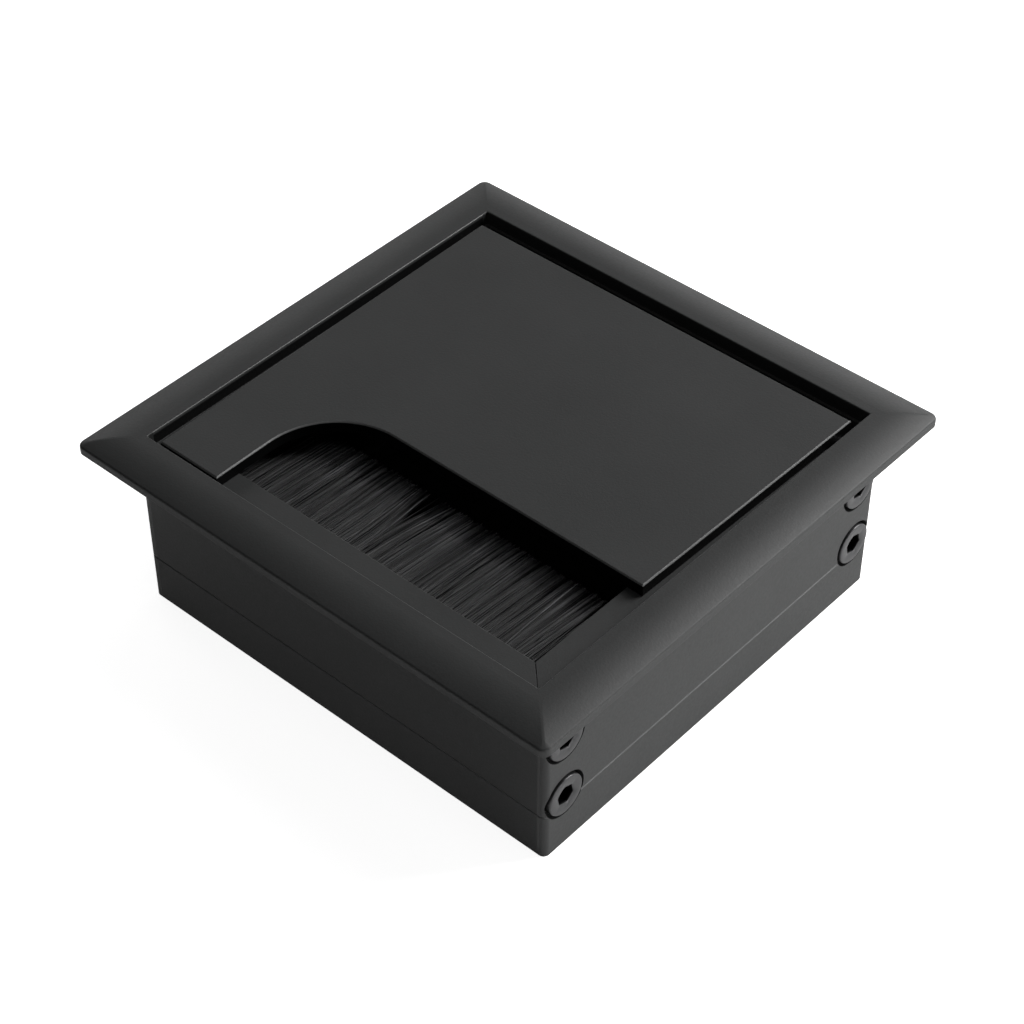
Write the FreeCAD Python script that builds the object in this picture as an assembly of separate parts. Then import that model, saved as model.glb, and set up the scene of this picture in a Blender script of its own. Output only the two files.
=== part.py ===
import FreeCAD, Part
import math
import os

# Square cable grommet for a desk top: four mitred frame profiles held by
# screws, a hinged lid with a front cut-out, and a strip brush behind the cut-out.
# Units are millimetres. The part stands on the lower rim of its body, +Z is up,
# and the brush side faces -Y.

V = FreeCAD.Vector
os.makedirs("parts", exist_ok=True)

# Body that drops into the cut-out of the desk top
BODY_HALF_X = 39.8
BODY_HALF_Y = 37.7
BODY_HEIGHT = 30.2
BODY_CORNER_RADIUS = 1.0
SIDE_WALL = 2.4
END_WALL = 1.2

# Flange: its width runs from the inner face of the wall out to the nose
FLANGE_WIDTH = 7.9
FLANGE_THICKNESS = 2.4
FLANGE_CORNER_RADIUS = 1.4
NOSE_DROP = 1.1
NOSE_TOP_RADIUS = 0.45
BEVEL_WIDTH = 5.8
LAND_SETBACK = 0.45
OPENING_EDGE_RADIUS = 0.2

# Ledge that the lid lies on, and the lip that carries the brush
LEDGE_DROP = 2.4
LEDGE_THICKNESS = 1.4
LEDGE_WIDTH = 4.5
LIP_THICKNESS = 1.2
MITRE_GAP = 0.16
MITRE_GAP_SHARE = 0.3

# V-groove round the body, at a share of its height
GROOVE_SHARE = 0.2715
GROOVE_DEPTH = 0.2
GROOVE_HALF_HEIGHT = 0.2

# Screw ports inside the end profiles
PORT_INSET = 3.0
PORT_RADIUS = 3.2
PORT_SLOT = 1.6
LOWER_PORT_RISE = 1.8
UPPER_PORT_DROP = 2.7

# Socket head screws
THREAD_DIAMETER = 4.0
THREAD_CLEARANCE = 0.05
SHANK_HOLE = 4.3
SCREW_LENGTH = 12.0
HEAD_DIAMETER = 6.8
HEAD_HEIGHT = 2.0
HEAD_EDGE = 0.35
SOCKET_FLATS = 3.0
SOCKET_DEPTH = 1.5
SOCKET_TURN = 12.0
COUNTERBORE_CLEARANCE = 1.1
COUNTERBORE_DEPTH = 1.75

# Lid, measured from the edges of the opening
LID_THICKNESS = 2.0
LID_SEAT_CLEARANCE = 0.05
LID_SIDE_GAP = 1.35
LID_BACK_GAP = 2.75
LID_FRONT_GAP = 0.65
LID_LEFT_TAPER = 0.7
LID_RIGHT_TAPER = 1.3
LID_TOP_EDGE = 0.2
CUT_DEPTH = 23.45
CUT_SIDE_STRIP = 12.5
CUT_RADIUS = 12.7

# Hinge: lugs under the lid's rear corners, on pins pressed into the side profiles
HINGE_DROP = 1.2
LUG_RADIUS = 2.2
LUG_WIDTH = 4.6
LUG_INSET = 0.5
LUG_WEB_OVERLAP = 0.5
LUG_ROOM = 1.2
PIN_DIAMETER = 2.0
PIN_RUNNING_CLEARANCE = 0.05
PIN_PRESS_CLEARANCE = 0.01
PIN_STANDOFF = 1.0
PIN_BLIND_GAP = 0.2
PIN_SINK = 0.4
PIN_EASE = 0.2

# Brush: a folded metal channel that clamps the bristles round a core wire
CHANNEL_END_GAP = 1.7
CHANNEL_HEIGHT = 3.4
CHANNEL_HEAD_ROOM = 0.2
CHANNEL_BACK_GAP = 0.2
CHANNEL_DEPTH = 4.2
CHANNEL_SHEET = 0.5
PINCH_LENGTH = 1.2
PINCH_CLOSURE = 0.45
CORE_DIAMETER = 1.0
CORE_COVER = 0.45
BRISTLE_GAP = 0.05
BRISTLE_END_GAP = 1.6
BRISTLE_TIP_GAP = 2.35
BRISTLE_ROOT_REACH = 0.6
BRISTLE_DROOP = 2.3
TUFT_COUNT = 44
TUFT_GAP = 0.1
TUFT_OVERLAP = 0.3
TUFT_POINT = 0.3
TUFT_TIP_THICKNESS = 0.8
TUFT_TIP_VARIATION = 0.35
TUFT_DROOP_VARIATION = 0.12
TUFT_ROOT_VARIATION = 0.04
TUFT_MID_DROOP_SHARE = 0.32

# Cutters run past the faces that they cut by this much
OVERRUN = 1.0
SKIN = 0.01

# Places that follow from the sizes above
INNER_HALF_X = BODY_HALF_X - SIDE_WALL
INNER_HALF_Y = BODY_HALF_Y - END_WALL
FLANGE_HALF_X = INNER_HALF_X + FLANGE_WIDTH
FLANGE_HALF_Y = INNER_HALF_Y + FLANGE_WIDTH
LAND_WIDTH = FLANGE_WIDTH - LAND_SETBACK
LEDGE_REACH = FLANGE_WIDTH + LEDGE_WIDTH
TOP_Z = BODY_HEIGHT + FLANGE_THICKNESS
NOSE_TOP_Z = TOP_Z - NOSE_DROP
LEDGE_Z = TOP_Z - LEDGE_DROP
LEDGE_UNDER_Z = LEDGE_Z - LEDGE_THICKNESS
LIP_TOP_Z = LEDGE_UNDER_Z - CHANNEL_HEAD_ROOM - CHANNEL_HEIGHT
LIP_UNDER_Z = LIP_TOP_Z - LIP_THICKNESS
GROOVE_Z = GROOVE_SHARE * BODY_HEIGHT
PORT_Y = INNER_HALF_Y - PORT_INSET
PORT_LEVELS = (GROOVE_Z + LOWER_PORT_RISE, LIP_UNDER_Z - UPPER_PORT_DROP)
HEAD_SEAT_X = BODY_HALF_X - COUNTERBORE_DEPTH
LID_HALF_X = INNER_HALF_X + LAND_SETBACK - LID_SIDE_GAP
LID_BACK_Y = INNER_HALF_Y + LAND_SETBACK - LID_BACK_GAP
LID_FRONT_Y = LID_FRONT_GAP - INNER_HALF_Y - LAND_SETBACK
CUT_BACK_Y = LID_FRONT_Y + CUT_DEPTH
CUT_LEFT_X = CUT_SIDE_STRIP - LID_HALF_X
HINGE_Y = LID_BACK_Y - LUG_RADIUS
HINGE_Z = LEDGE_Z - HINGE_DROP
LUG_OUTER_X = LID_HALF_X - LUG_INSET
LUG_INNER_X = LUG_OUTER_X - LUG_WIDTH
PIN_INNER_X = LUG_INNER_X + PIN_STANDOFF
HINGE_ROOM_Y = HINGE_Y - LUG_RADIUS - LUG_ROOM
CHANNEL_HALF_LENGTH = INNER_HALF_X - CHANNEL_END_GAP
BRISTLE_HALF_LENGTH = INNER_HALF_X - LEDGE_WIDTH - BRISTLE_END_GAP
BRISTLE_TIP_Y = CUT_BACK_Y - BRISTLE_TIP_GAP


def export(shape, name):
    """Write one named piece."""
    shape.exportStep("parts/" + name + ".step")


def prism(points, direction):
    """Extrude a closed polygon of points along a vector."""
    wire = Part.makePolygon(list(points) + [points[0]])
    return Part.Face(wire).extrude(direction)


def rounded_rectangle(half_x, half_y, radius, z):
    """Wire of a rectangle with rounded corners, centred on the Z axis."""
    k = radius * (1.0 - math.sqrt(0.5))
    edges = []
    corners = ((1, 1), (-1, 1), (-1, -1), (1, -1))
    arcs = []
    for sx, sy in corners:
        on_x = V(sx * half_x, sy * (half_y - radius), z)
        mid = V(sx * (half_x - k), sy * (half_y - k), z)
        on_y = V(sx * (half_x - radius), sy * half_y, z)
        if sx * sy > 0:
            arcs.append((on_x, mid, on_y))
        else:
            arcs.append((on_y, mid, on_x))
    for i, (start, mid, end) in enumerate(arcs):
        edges.append(arc_edge(start, mid, end))
        edges.append(Part.LineSegment(end, arcs[(i + 1) % 4][0]).toShape())
    return Part.Wire(edges)


def body_rectangle(inset, z):
    """Outline of the body at a height, drawn in by an inset."""
    return rounded_rectangle(
        BODY_HALF_X - inset, BODY_HALF_Y - inset, BODY_CORNER_RADIUS - inset, z
    )


def body_prism(z0, z1):
    """Solid of the body between two heights."""
    return Part.Face(body_rectangle(0.0, z0)).extrude(V(0, 0, z1 - z0))


def waist(z_wide):
    """Half of the V-groove, as a taper from the body size to the groove bottom."""
    outlines = [body_rectangle(0.0, z_wide), body_rectangle(GROOVE_DEPTH, GROOVE_Z)]
    return Part.makeLoft(outlines, True, True)


def body_envelope():
    """Outer limits of the frame: rounded body with its drill groove, then the flange."""
    low = GROOVE_Z - GROOVE_HALF_HEIGHT
    high = GROOVE_Z + GROOVE_HALF_HEIGHT
    slab = Part.makeBox(
        2 * (FLANGE_HALF_X + OVERRUN),
        2 * (FLANGE_HALF_Y + OVERRUN),
        FLANGE_THICKNESS + OVERRUN,
        V(-FLANGE_HALF_X - OVERRUN, -FLANGE_HALF_Y - OVERRUN, BODY_HEIGHT),
    )
    upper = body_prism(high, BODY_HEIGHT)
    return body_prism(0.0, low).multiFuse([waist(low), waist(high), upper, slab])


def arc_edge(start, mid, end):
    """Circular edge through three points."""
    return Part.Arc(start, mid, end).toShape()


def flange_outline():
    """Points of the flange from the nose face round its top edge and up the bevel."""
    radius = (BEVEL_WIDTH ** 2 + NOSE_DROP ** 2) / (2.0 * NOSE_DROP)
    centre = (BEVEL_WIDTH, TOP_Z - radius)
    # The nose rounding touches the nose face and the bevel arc from inside
    r = NOSE_TOP_RADIUS
    z_c = centre[1] + math.sqrt((radius - r) ** 2 - (centre[0] - r) ** 2)
    on_nose = (0.0, z_c)
    away = math.atan2(z_c - centre[1], r - centre[0])
    on_bevel = (centre[0] + radius * math.cos(away), centre[1] + radius * math.sin(away))
    half = (math.pi + away) / 2.0
    nose_mid = (r + r * math.cos(half), z_c + r * math.sin(half))
    sweep = (away + math.pi / 2.0) / 2.0
    bevel_mid = (centre[0] + radius * math.cos(sweep), centre[1] + radius * math.sin(sweep))
    return on_nose, nose_mid, on_bevel, bevel_mid


def section(overhang):
    """Face of one frame profile in the XZ plane, X measured inward from the nose."""
    def p(d, z):
        return V(d, 0, z)

    on_nose, nose_mid, on_bevel, bevel_mid = flange_outline()
    ro = OPENING_EDGE_RADIUS
    q = 1.0 - math.sqrt(0.5)
    edges = [
        Part.LineSegment(p(overhang, BODY_HEIGHT), p(0, BODY_HEIGHT)).toShape(),
        Part.LineSegment(p(0, BODY_HEIGHT), p(*on_nose)).toShape(),
        arc_edge(p(*on_nose), p(*nose_mid), p(*on_bevel)),
        arc_edge(p(*on_bevel), p(*bevel_mid), p(BEVEL_WIDTH, TOP_Z)),
        Part.LineSegment(p(BEVEL_WIDTH, TOP_Z), p(LAND_WIDTH - ro, TOP_Z)).toShape(),
        arc_edge(
            p(LAND_WIDTH - ro, TOP_Z),
            p(LAND_WIDTH - ro * q, TOP_Z - ro * q),
            p(LAND_WIDTH, TOP_Z - ro),
        ),
    ]
    corners = [
        (LAND_WIDTH, TOP_Z - ro),
        (LAND_WIDTH, LEDGE_Z),
        (LEDGE_REACH, LEDGE_Z),
        (LEDGE_REACH, LEDGE_UNDER_Z),
        (FLANGE_WIDTH, LEDGE_UNDER_Z),
        (FLANGE_WIDTH, LIP_TOP_Z),
        (LEDGE_REACH, LIP_TOP_Z),
        (LEDGE_REACH, LIP_UNDER_Z),
        (FLANGE_WIDTH, LIP_UNDER_Z),
        (FLANGE_WIDTH, 0.0),
        (overhang, 0.0),
        (overhang, BODY_HEIGHT),
    ]
    for a, b in zip(corners, corners[1:]):
        edges.append(Part.LineSegment(p(*a), p(*b)).toShape())
    return Part.Face(Part.Wire(edges))


def nose_section():
    """Part of the section that lies within the flange's plan corner radius."""
    face = section(FLANGE_CORNER_RADIUS + OVERRUN)
    clip = Part.makeBox(
        FLANGE_CORNER_RADIUS,
        2 * OVERRUN,
        FLANGE_THICKNESS + 2 * OVERRUN,
        V(0, -OVERRUN, BODY_HEIGHT - OVERRUN),
    )
    return face.common(clip)


def placed_extrusion(face, half, length):
    """Extrude a section along Y with its nose at +X = half, centred on Y = 0."""
    solid = face.extrude(V(0, length, 0))
    solid.translate(V(0, -length / 2.0, 0))
    solid = solid.mirror(V(0, 0, 0), V(1, 0, 0))
    solid.translate(V(half, 0, 0))
    return solid


def add_ports(bar, half, length):
    """Two screw ports along a bar: round bosses on the inner wall, bored and slotted."""
    axis_x = half - FLANGE_WIDTH - PORT_INSET
    for z in PORT_LEVELS:
        boss = Part.makeCylinder(PORT_RADIUS, length, V(axis_x, -length / 2, z), V(0, 1, 0))
        bar = bar.fuse(boss)
    for z in PORT_LEVELS:
        bore = Part.makeCylinder(
            THREAD_DIAMETER / 2, length, V(axis_x, -length / 2, z), V(0, 1, 0)
        )
        slot = Part.makeBox(
            PORT_RADIUS + OVERRUN,
            length,
            PORT_SLOT,
            V(axis_x - PORT_RADIUS - OVERRUN, -length / 2, z - PORT_SLOT / 2),
        )
        bar = bar.cut(bore).cut(slot)
    return bar


def profile(half, other_half, overhang, ported):
    """One mitred profile with its nose at +X; returns the solid before hole drilling."""
    length = 2.0 * (other_half + OVERRUN)
    bar = placed_extrusion(section(overhang), half, length)
    if ported:
        bar = add_ports(bar, half, length)
    r = FLANGE_CORNER_RADIUS
    turned = nose_section().mirror(V(0, 0, 0), V(1, 0, 0))
    turned.translate(V(half, other_half - r, 0))
    for start in (other_half - r, -other_half - 2 * OVERRUN):
        corner = Part.makeBox(
            r + OVERRUN, r + 2 * OVERRUN, TOP_Z + 2 * OVERRUN, V(half - r, start, -OVERRUN)
        )
        bar = bar.cut(corner)
    quarter = turned.revolve(V(half - r, other_half - r, 0), V(0, 0, 1), 90)
    mirrored = quarter.mirror(V(0, 0, 0), V(0, 1, 0))
    bar = bar.multiFuse([quarter, mirrored])
    # The mitre planes leave a trapezium that narrows toward the middle
    shift = half - other_half
    outer = half + OVERRUN
    wedge = prism(
        [V(shift, 0, -OVERRUN), V(outer, shift - outer, -OVERRUN), V(outer, outer - shift, -OVERRUN)],
        V(0, 0, TOP_Z + 2 * OVERRUN),
    )
    return bar.common(wedge).removeSplitter()


def mitre_relief(half, other_half):
    """Slim cuts that ease the two mitred ends of the ledge."""
    shift = half - other_half
    start = half - LAND_WIDTH
    reach = half - LEDGE_REACH - OVERRUN
    w = MITRE_GAP / 2.0 * math.sqrt(2.0)
    z = LEDGE_UNDER_Z - SKIN
    cutters = []
    for side in (1, -1):
        corners = [
            V(start, side * (start - shift), z),
            V(reach, side * (reach - shift), z),
            V(reach, side * (reach - shift - w), z),
            V(start, side * (start - shift - MITRE_GAP_SHARE * w), z),
        ]
        cutters.append(prism(corners, V(0, 0, LEDGE_THICKNESS + 2 * SKIN)))
    return cutters


def screw_positions():
    """Hole centres in Y and Z with their end and level, the same on both side profiles."""
    return [(sy * PORT_Y, z, sy, i) for sy in (-1, 1) for i, z in enumerate(PORT_LEVELS)]


def bores(diameter, depth):
    """Cutters round the screw axes, down to a depth below the +X face of the body."""
    return [
        Part.makeCylinder(
            diameter / 2, depth + OVERRUN, V(BODY_HALF_X - depth, y, z), V(1, 0, 0)
        )
        for y, z, _, _ in screw_positions()
    ]


def counterbores():
    """Cutters for the screw heads."""
    return bores(HEAD_DIAMETER + COUNTERBORE_CLEARANCE, COUNTERBORE_DEPTH)


def drill_side(solid):
    """Counterbores and clearance holes in the +X profile, and its hinge pin hole."""
    solid = solid.cut(counterbores() + bores(SHANK_HOLE, SIDE_WALL + OVERRUN))
    pin_hole = Part.makeCylinder(
        PIN_DIAMETER / 2 + PIN_PRESS_CLEARANCE,
        SIDE_WALL + 2 * OVERRUN,
        V(INNER_HALF_X - OVERRUN, HINGE_Y, HINGE_Z),
        V(1, 0, 0),
    )
    # The ledge stops short of the hinge
    room = Part.makeBox(
        LEDGE_REACH,
        INNER_HALF_Y - HINGE_ROOM_Y,
        TOP_Z - LEDGE_UNDER_Z + OVERRUN,
        V(INNER_HALF_X - LEDGE_REACH, HINGE_ROOM_Y, LEDGE_UNDER_Z - SKIN),
    )
    return solid.cut(pin_hole).cut(room)


def build_frame():
    """Four profiles: screws through the side pair enter the ports of the end pair."""
    envelope = body_envelope()
    side = profile(FLANGE_HALF_X, FLANGE_HALF_Y, FLANGE_WIDTH - SIDE_WALL, False)
    side = side.common(envelope)
    for cutter in mitre_relief(FLANGE_HALF_X, FLANGE_HALF_Y):
        side = side.cut(cutter)
    right = drill_side(side)
    left = right.mirror(V(0, 0, 0), V(1, 0, 0))
    end = profile(FLANGE_HALF_Y, FLANGE_HALF_X, FLANGE_WIDTH - END_WALL, True)
    end.rotate(V(0, 0, 0), V(0, 0, 1), 90)
    end = end.common(envelope)
    for cutter in mitre_relief(FLANGE_HALF_Y, FLANGE_HALF_X):
        cutter.rotate(V(0, 0, 0), V(0, 0, 1), 90)
        end = end.cut(cutter)
    for bore in counterbores():
        end = end.cut([bore, bore.mirror(V(0, 0, 0), V(1, 0, 0))])
    front = end.mirror(V(0, 0, 0), V(0, 1, 0))
    hinge_room = Part.makeBox(
        2 * INNER_HALF_X,
        LEDGE_REACH,
        LEDGE_THICKNESS + 2 * SKIN,
        V(-INNER_HALF_X, INNER_HALF_Y - LEDGE_REACH, LEDGE_UNDER_Z - SKIN),
    )
    back = end.cut(hinge_room)
    return {
        "frame_front": front,
        "frame_back": back,
        "frame_left": left,
        "frame_right": right,
    }


def build_screw():
    """Low-headed screw with a hex socket, axis on +X, head seat at X = 0."""
    r = HEAD_DIAMETER / 2
    shank = THREAD_DIAMETER / 2 - THREAD_CLEARANCE
    outline = [
        V(-SCREW_LENGTH, 0, 0),
        V(-SCREW_LENGTH, shank, 0),
        V(0, shank, 0),
        V(0, r, 0),
        V(HEAD_HEIGHT - HEAD_EDGE, r, 0),
        V(HEAD_HEIGHT, r - HEAD_EDGE, 0),
        V(HEAD_HEIGHT, 0, 0),
    ]
    wire = Part.makePolygon(outline + [outline[0]])
    solid = Part.Face(wire).revolve(V(0, 0, 0), V(1, 0, 0), 360)
    across = SOCKET_FLATS / math.sqrt(3.0)
    turns = [math.radians(60 * i + SOCKET_TURN) for i in range(6)]
    hexagon = [
        V(HEAD_HEIGHT - SOCKET_DEPTH, across * math.cos(a), across * math.sin(a)) for a in turns
    ]
    return solid.cut(prism(hexagon, V(SOCKET_DEPTH + OVERRUN, 0, 0)))


def build_screws():
    """Eight screws, four through each side profile."""
    master = build_screw()
    names = {(-1, 0): "front_lower", (-1, 1): "front_upper"}
    names.update({(1, 0): "back_lower", (1, 1): "back_upper"})
    screws = {}
    for y, z, sy, level in screw_positions():
        right = master.copy()
        right.translate(V(HEAD_SEAT_X, y, z))
        left = master.copy()
        left.rotate(V(0, 0, 0), V(0, 0, 1), 180)
        left.translate(V(-HEAD_SEAT_X, y, z))
        screws["screw_right_" + names[(sy, level)]] = right
        screws["screw_left_" + names[(sy, level)]] = left
    return screws


def lid_plate():
    """Flat plate with a front strip cut away, tapered to the front, its top edge eased."""
    z0 = LEDGE_Z + LID_SEAT_CLEARANCE
    run = LID_BACK_Y - LID_FRONT_Y
    right_at_cut = LID_HALF_X - LID_RIGHT_TAPER * (LID_BACK_Y - CUT_BACK_Y) / run
    q = CUT_RADIUS * (1.0 - math.sqrt(0.5))
    back_left = V(-LID_HALF_X, LID_BACK_Y, z0)
    front_left = V(-LID_HALF_X + LID_LEFT_TAPER, LID_FRONT_Y, z0)
    front_cut = V(CUT_LEFT_X, LID_FRONT_Y, z0)
    arc_start = V(CUT_LEFT_X, CUT_BACK_Y - CUT_RADIUS, z0)
    arc_mid = V(CUT_LEFT_X + q, CUT_BACK_Y - q, z0)
    arc_end = V(CUT_LEFT_X + CUT_RADIUS, CUT_BACK_Y, z0)
    cut_right = V(right_at_cut, CUT_BACK_Y, z0)
    back_right = V(LID_HALF_X, LID_BACK_Y, z0)
    straight = [
        (back_left, front_left),
        (front_left, front_cut),
        (front_cut, arc_start),
        (arc_end, cut_right),
        (cut_right, back_right),
        (back_right, back_left),
    ]
    edges = [Part.LineSegment(a, b).toShape() for a, b in straight]
    edges.insert(3, arc_edge(arc_start, arc_mid, arc_end))
    plate = Part.Face(Part.Wire(edges)).extrude(V(0, 0, LID_THICKNESS))
    top = [e for e in plate.Edges if e.BoundBox.ZMin > z0 + LID_THICKNESS / 2]
    return plate.makeChamfer(LID_TOP_EDGE, top)


def build_lid():
    """Lid plate with two hinge lugs below its rear corners."""
    lid = lid_plate()
    web_height = HINGE_DROP + LID_SEAT_CLEARANCE + LUG_WEB_OVERLAP
    bore_start = PIN_INNER_X - PIN_BLIND_GAP
    bore_radius = PIN_DIAMETER / 2 + PIN_RUNNING_CLEARANCE
    for x0 in (LUG_INNER_X, -LUG_OUTER_X):
        eye = Part.makeCylinder(LUG_RADIUS, LUG_WIDTH, V(x0, HINGE_Y, HINGE_Z), V(1, 0, 0))
        web = Part.makeBox(
            LUG_WIDTH, 2 * LUG_RADIUS, web_height, V(x0, HINGE_Y - LUG_RADIUS, HINGE_Z)
        )
        lid = lid.multiFuse([eye, web])
    for side in (1, -1):
        bore = Part.makeCylinder(
            bore_radius,
            LUG_OUTER_X - bore_start + OVERRUN,
            V(side * bore_start, HINGE_Y, HINGE_Z),
            V(side, 0, 0),
        )
        lid = lid.cut(bore)
    return lid.removeSplitter()


def build_pin(side):
    """Hinge pin pressed into the side profile; its eased end enters the lid's lug."""
    length = BODY_HALF_X - PIN_SINK - PIN_INNER_X
    pin = Part.makeCylinder(
        PIN_DIAMETER / 2, length, V(side * PIN_INNER_X, HINGE_Y, HINGE_Z), V(side, 0, 0)
    )
    rims = [e for e in pin.Edges if e.Curve.TypeId == "Part::GeomCircle"]
    inner = min(rims, key=lambda e: abs(e.CenterOfMass.x))
    return pin.makeChamfer(PIN_EASE, [inner])


def channel_frame():
    """Back, front, bottom and top of the brush channel in Y and Z."""
    back = -INNER_HALF_Y + CHANNEL_BACK_GAP
    return back, back + CHANNEL_DEPTH, LIP_TOP_Z, LIP_TOP_Z + CHANNEL_HEIGHT


def build_channel():
    """Folded strip that is open toward the middle of the grommet."""
    y0, y1, z0, z1 = channel_frame()
    t = CHANNEL_SHEET
    bend = y1 - PINCH_LENGTH
    outline = [
        (y0, z0),
        (bend, z0),
        (y1, z0 + PINCH_CLOSURE),
        (y1, z0 + PINCH_CLOSURE + t),
        (bend, z0 + t),
        (y0 + t, z0 + t),
        (y0 + t, z1 - t),
        (bend, z1 - t),
        (y1, z1 - PINCH_CLOSURE - t),
        (y1, z1 - PINCH_CLOSURE),
        (bend, z1),
        (y0, z1),
    ]
    points = [V(-CHANNEL_HALF_LENGTH, y, z) for y, z in outline]
    return prism(points, V(2 * CHANNEL_HALF_LENGTH, 0, 0))


def core_centre():
    """Centre of the core wire in Y and Z."""
    y0, _, z0, z1 = channel_frame()
    return y0 + CHANNEL_SHEET + BRISTLE_GAP + CORE_COVER + CORE_DIAMETER / 2, (z0 + z1) / 2


def build_core_wire():
    """Straight wire that the bristles are folded round."""
    y, z = core_centre()
    length = 2 * CHANNEL_HALF_LENGTH
    return Part.makeCylinder(CORE_DIAMETER / 2, length, V(-CHANNEL_HALF_LENGTH, y, z), V(1, 0, 0))


def bristle_root(mouth_low, mouth_high):
    """Folded bristles inside the channel, with room for the core wire."""
    y0, y1, z0, z1 = channel_frame()
    cy, cz = core_centre()
    skin = CHANNEL_SHEET + BRISTLE_GAP
    bend = y1 - PINCH_LENGTH
    outline = [
        (y0 + skin, z0 + skin),
        (bend, z0 + skin),
        (y1, mouth_low),
        (y1 + BRISTLE_ROOT_REACH, mouth_low),
        (y1 + BRISTLE_ROOT_REACH, mouth_high),
        (y1, mouth_high),
        (bend, z1 - skin),
        (y0 + skin, z1 - skin),
    ]
    half = BRISTLE_HALF_LENGTH
    root = prism([V(-half, y, z) for y, z in outline], V(2 * half, 0, 0))
    room = Part.makeCylinder(
        CORE_DIAMETER / 2 + BRISTLE_GAP,
        2 * (half + OVERRUN),
        V(-half - OVERRUN, cy, cz),
        V(1, 0, 0),
    )
    return root.cut(room)


def build_bristles():
    """Bristle pack: folded root inside the channel, then a row of drooping tufts."""
    _, y1, z0, z1 = channel_frame()
    mouth_low = z0 + PINCH_CLOSURE + CHANNEL_SHEET + BRISTLE_GAP
    mouth_high = z1 - PINCH_CLOSURE - CHANNEL_SHEET - BRISTLE_GAP
    start = y1 + BRISTLE_ROOT_REACH - TUFT_OVERLAP
    half = BRISTLE_HALF_LENGTH
    pitch = 2 * half / TUFT_COUNT
    tufts = []
    for i in range(TUFT_COUNT):
        # Neighbouring tufts differ a little in length, thickness and droop
        tip_y = BRISTLE_TIP_Y + TUFT_TIP_VARIATION * (math.sin(2.4 * i) + 0.6 * math.sin(5.1 * i))
        droop = BRISTLE_DROOP * (1.0 + TUFT_DROOP_VARIATION * math.sin(3.7 * i))
        mid_y = (start + tip_y) / 2
        mid_droop = TUFT_MID_DROOP_SHARE * droop
        top = mouth_high - TUFT_ROOT_VARIATION * (1.0 + math.sin(1.9 * i))
        bottom = mouth_low + TUFT_ROOT_VARIATION * (1.0 + math.sin(2.9 * i))
        middle = (mouth_high + mouth_low) / 2 - droop
        outline = [
            (start, bottom),
            (start, top),
            (mid_y, top - mid_droop),
            (tip_y, middle + TUFT_TIP_THICKNESS / 2),
            (tip_y + TUFT_POINT, middle),
            (tip_y, middle - TUFT_TIP_THICKNESS / 2),
            (mid_y, bottom - mid_droop),
        ]
        x = -half + i * pitch + TUFT_GAP / 2
        tufts.append(prism([V(x, y, z) for y, z in outline], V(pitch - TUFT_GAP, 0, 0)))
    return bristle_root(mouth_low, mouth_high).multiFuse(tufts)


pieces = build_frame()
pieces.update(build_screws())
pieces["lid"] = build_lid()
pieces["hinge_pin_right"] = build_pin(1)
pieces["hinge_pin_left"] = build_pin(-1)
pieces["brush_channel"] = build_channel()
pieces["brush_core_wire"] = build_core_wire()
pieces["brush_bristles"] = build_bristles()
for name, shape in pieces.items():
    export(shape, name)
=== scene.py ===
"""Looks of a square brush cable grommet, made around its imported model.

The mitred frame and the hinged lid keep their solids and gain a satin black coat. The screws become
socket head screws with real threads, and the brush becomes a few thousand separate filaments.
Lengths are in metres, +Z is up and the brush side faces -Y.
"""

import logging
import math
from dataclasses import dataclass
from enum import Enum

import bpy
import numpy as np
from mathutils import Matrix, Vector


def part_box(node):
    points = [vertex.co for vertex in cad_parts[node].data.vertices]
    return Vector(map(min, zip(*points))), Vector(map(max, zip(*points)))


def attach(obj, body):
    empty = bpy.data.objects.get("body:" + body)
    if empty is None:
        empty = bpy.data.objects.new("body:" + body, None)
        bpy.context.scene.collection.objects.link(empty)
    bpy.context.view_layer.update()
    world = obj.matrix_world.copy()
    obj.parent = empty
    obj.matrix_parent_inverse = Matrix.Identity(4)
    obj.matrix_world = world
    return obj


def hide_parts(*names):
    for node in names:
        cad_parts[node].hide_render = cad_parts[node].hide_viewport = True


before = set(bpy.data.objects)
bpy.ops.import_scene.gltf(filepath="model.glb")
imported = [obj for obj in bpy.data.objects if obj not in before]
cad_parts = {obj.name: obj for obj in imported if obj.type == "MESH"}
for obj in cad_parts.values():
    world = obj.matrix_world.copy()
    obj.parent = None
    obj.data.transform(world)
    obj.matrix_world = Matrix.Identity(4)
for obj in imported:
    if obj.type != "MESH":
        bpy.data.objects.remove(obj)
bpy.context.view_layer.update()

MM = 0.001
REPORT = logging.getLogger("grommet")
FRAME_BODY = "frame"
PROFILES = ("frame_front", "frame_back", "frame_left", "frame_right")
PINS = ("hinge_pin_right", "hinge_pin_left")
NOISE_MIDDLE = (0.3, 0.7)
WHITE = (1.0, 1.0, 1.0, 1.0)
Socket = bpy.types.NodeSocket


class Side(Enum):
    """The side of the frame that a screw enters, as the sign of its X axis."""

    RIGHT = 1
    LEFT = -1


class Row(Enum):
    """The half of the brush that a filament belongs to, as the sign of its height at the wire."""

    UPPER = 1
    LOWER = -1


class Draw(Enum):
    """What is drawn for each clump of filaments, as the number of its own stream of draws."""

    PULL = 0
    LEAN = 1
    BOW = 2
    TONE = 3
    RISE = 4
    # How deep the painted shade at the clump's edges goes.
    DEPTH = 5


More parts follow.
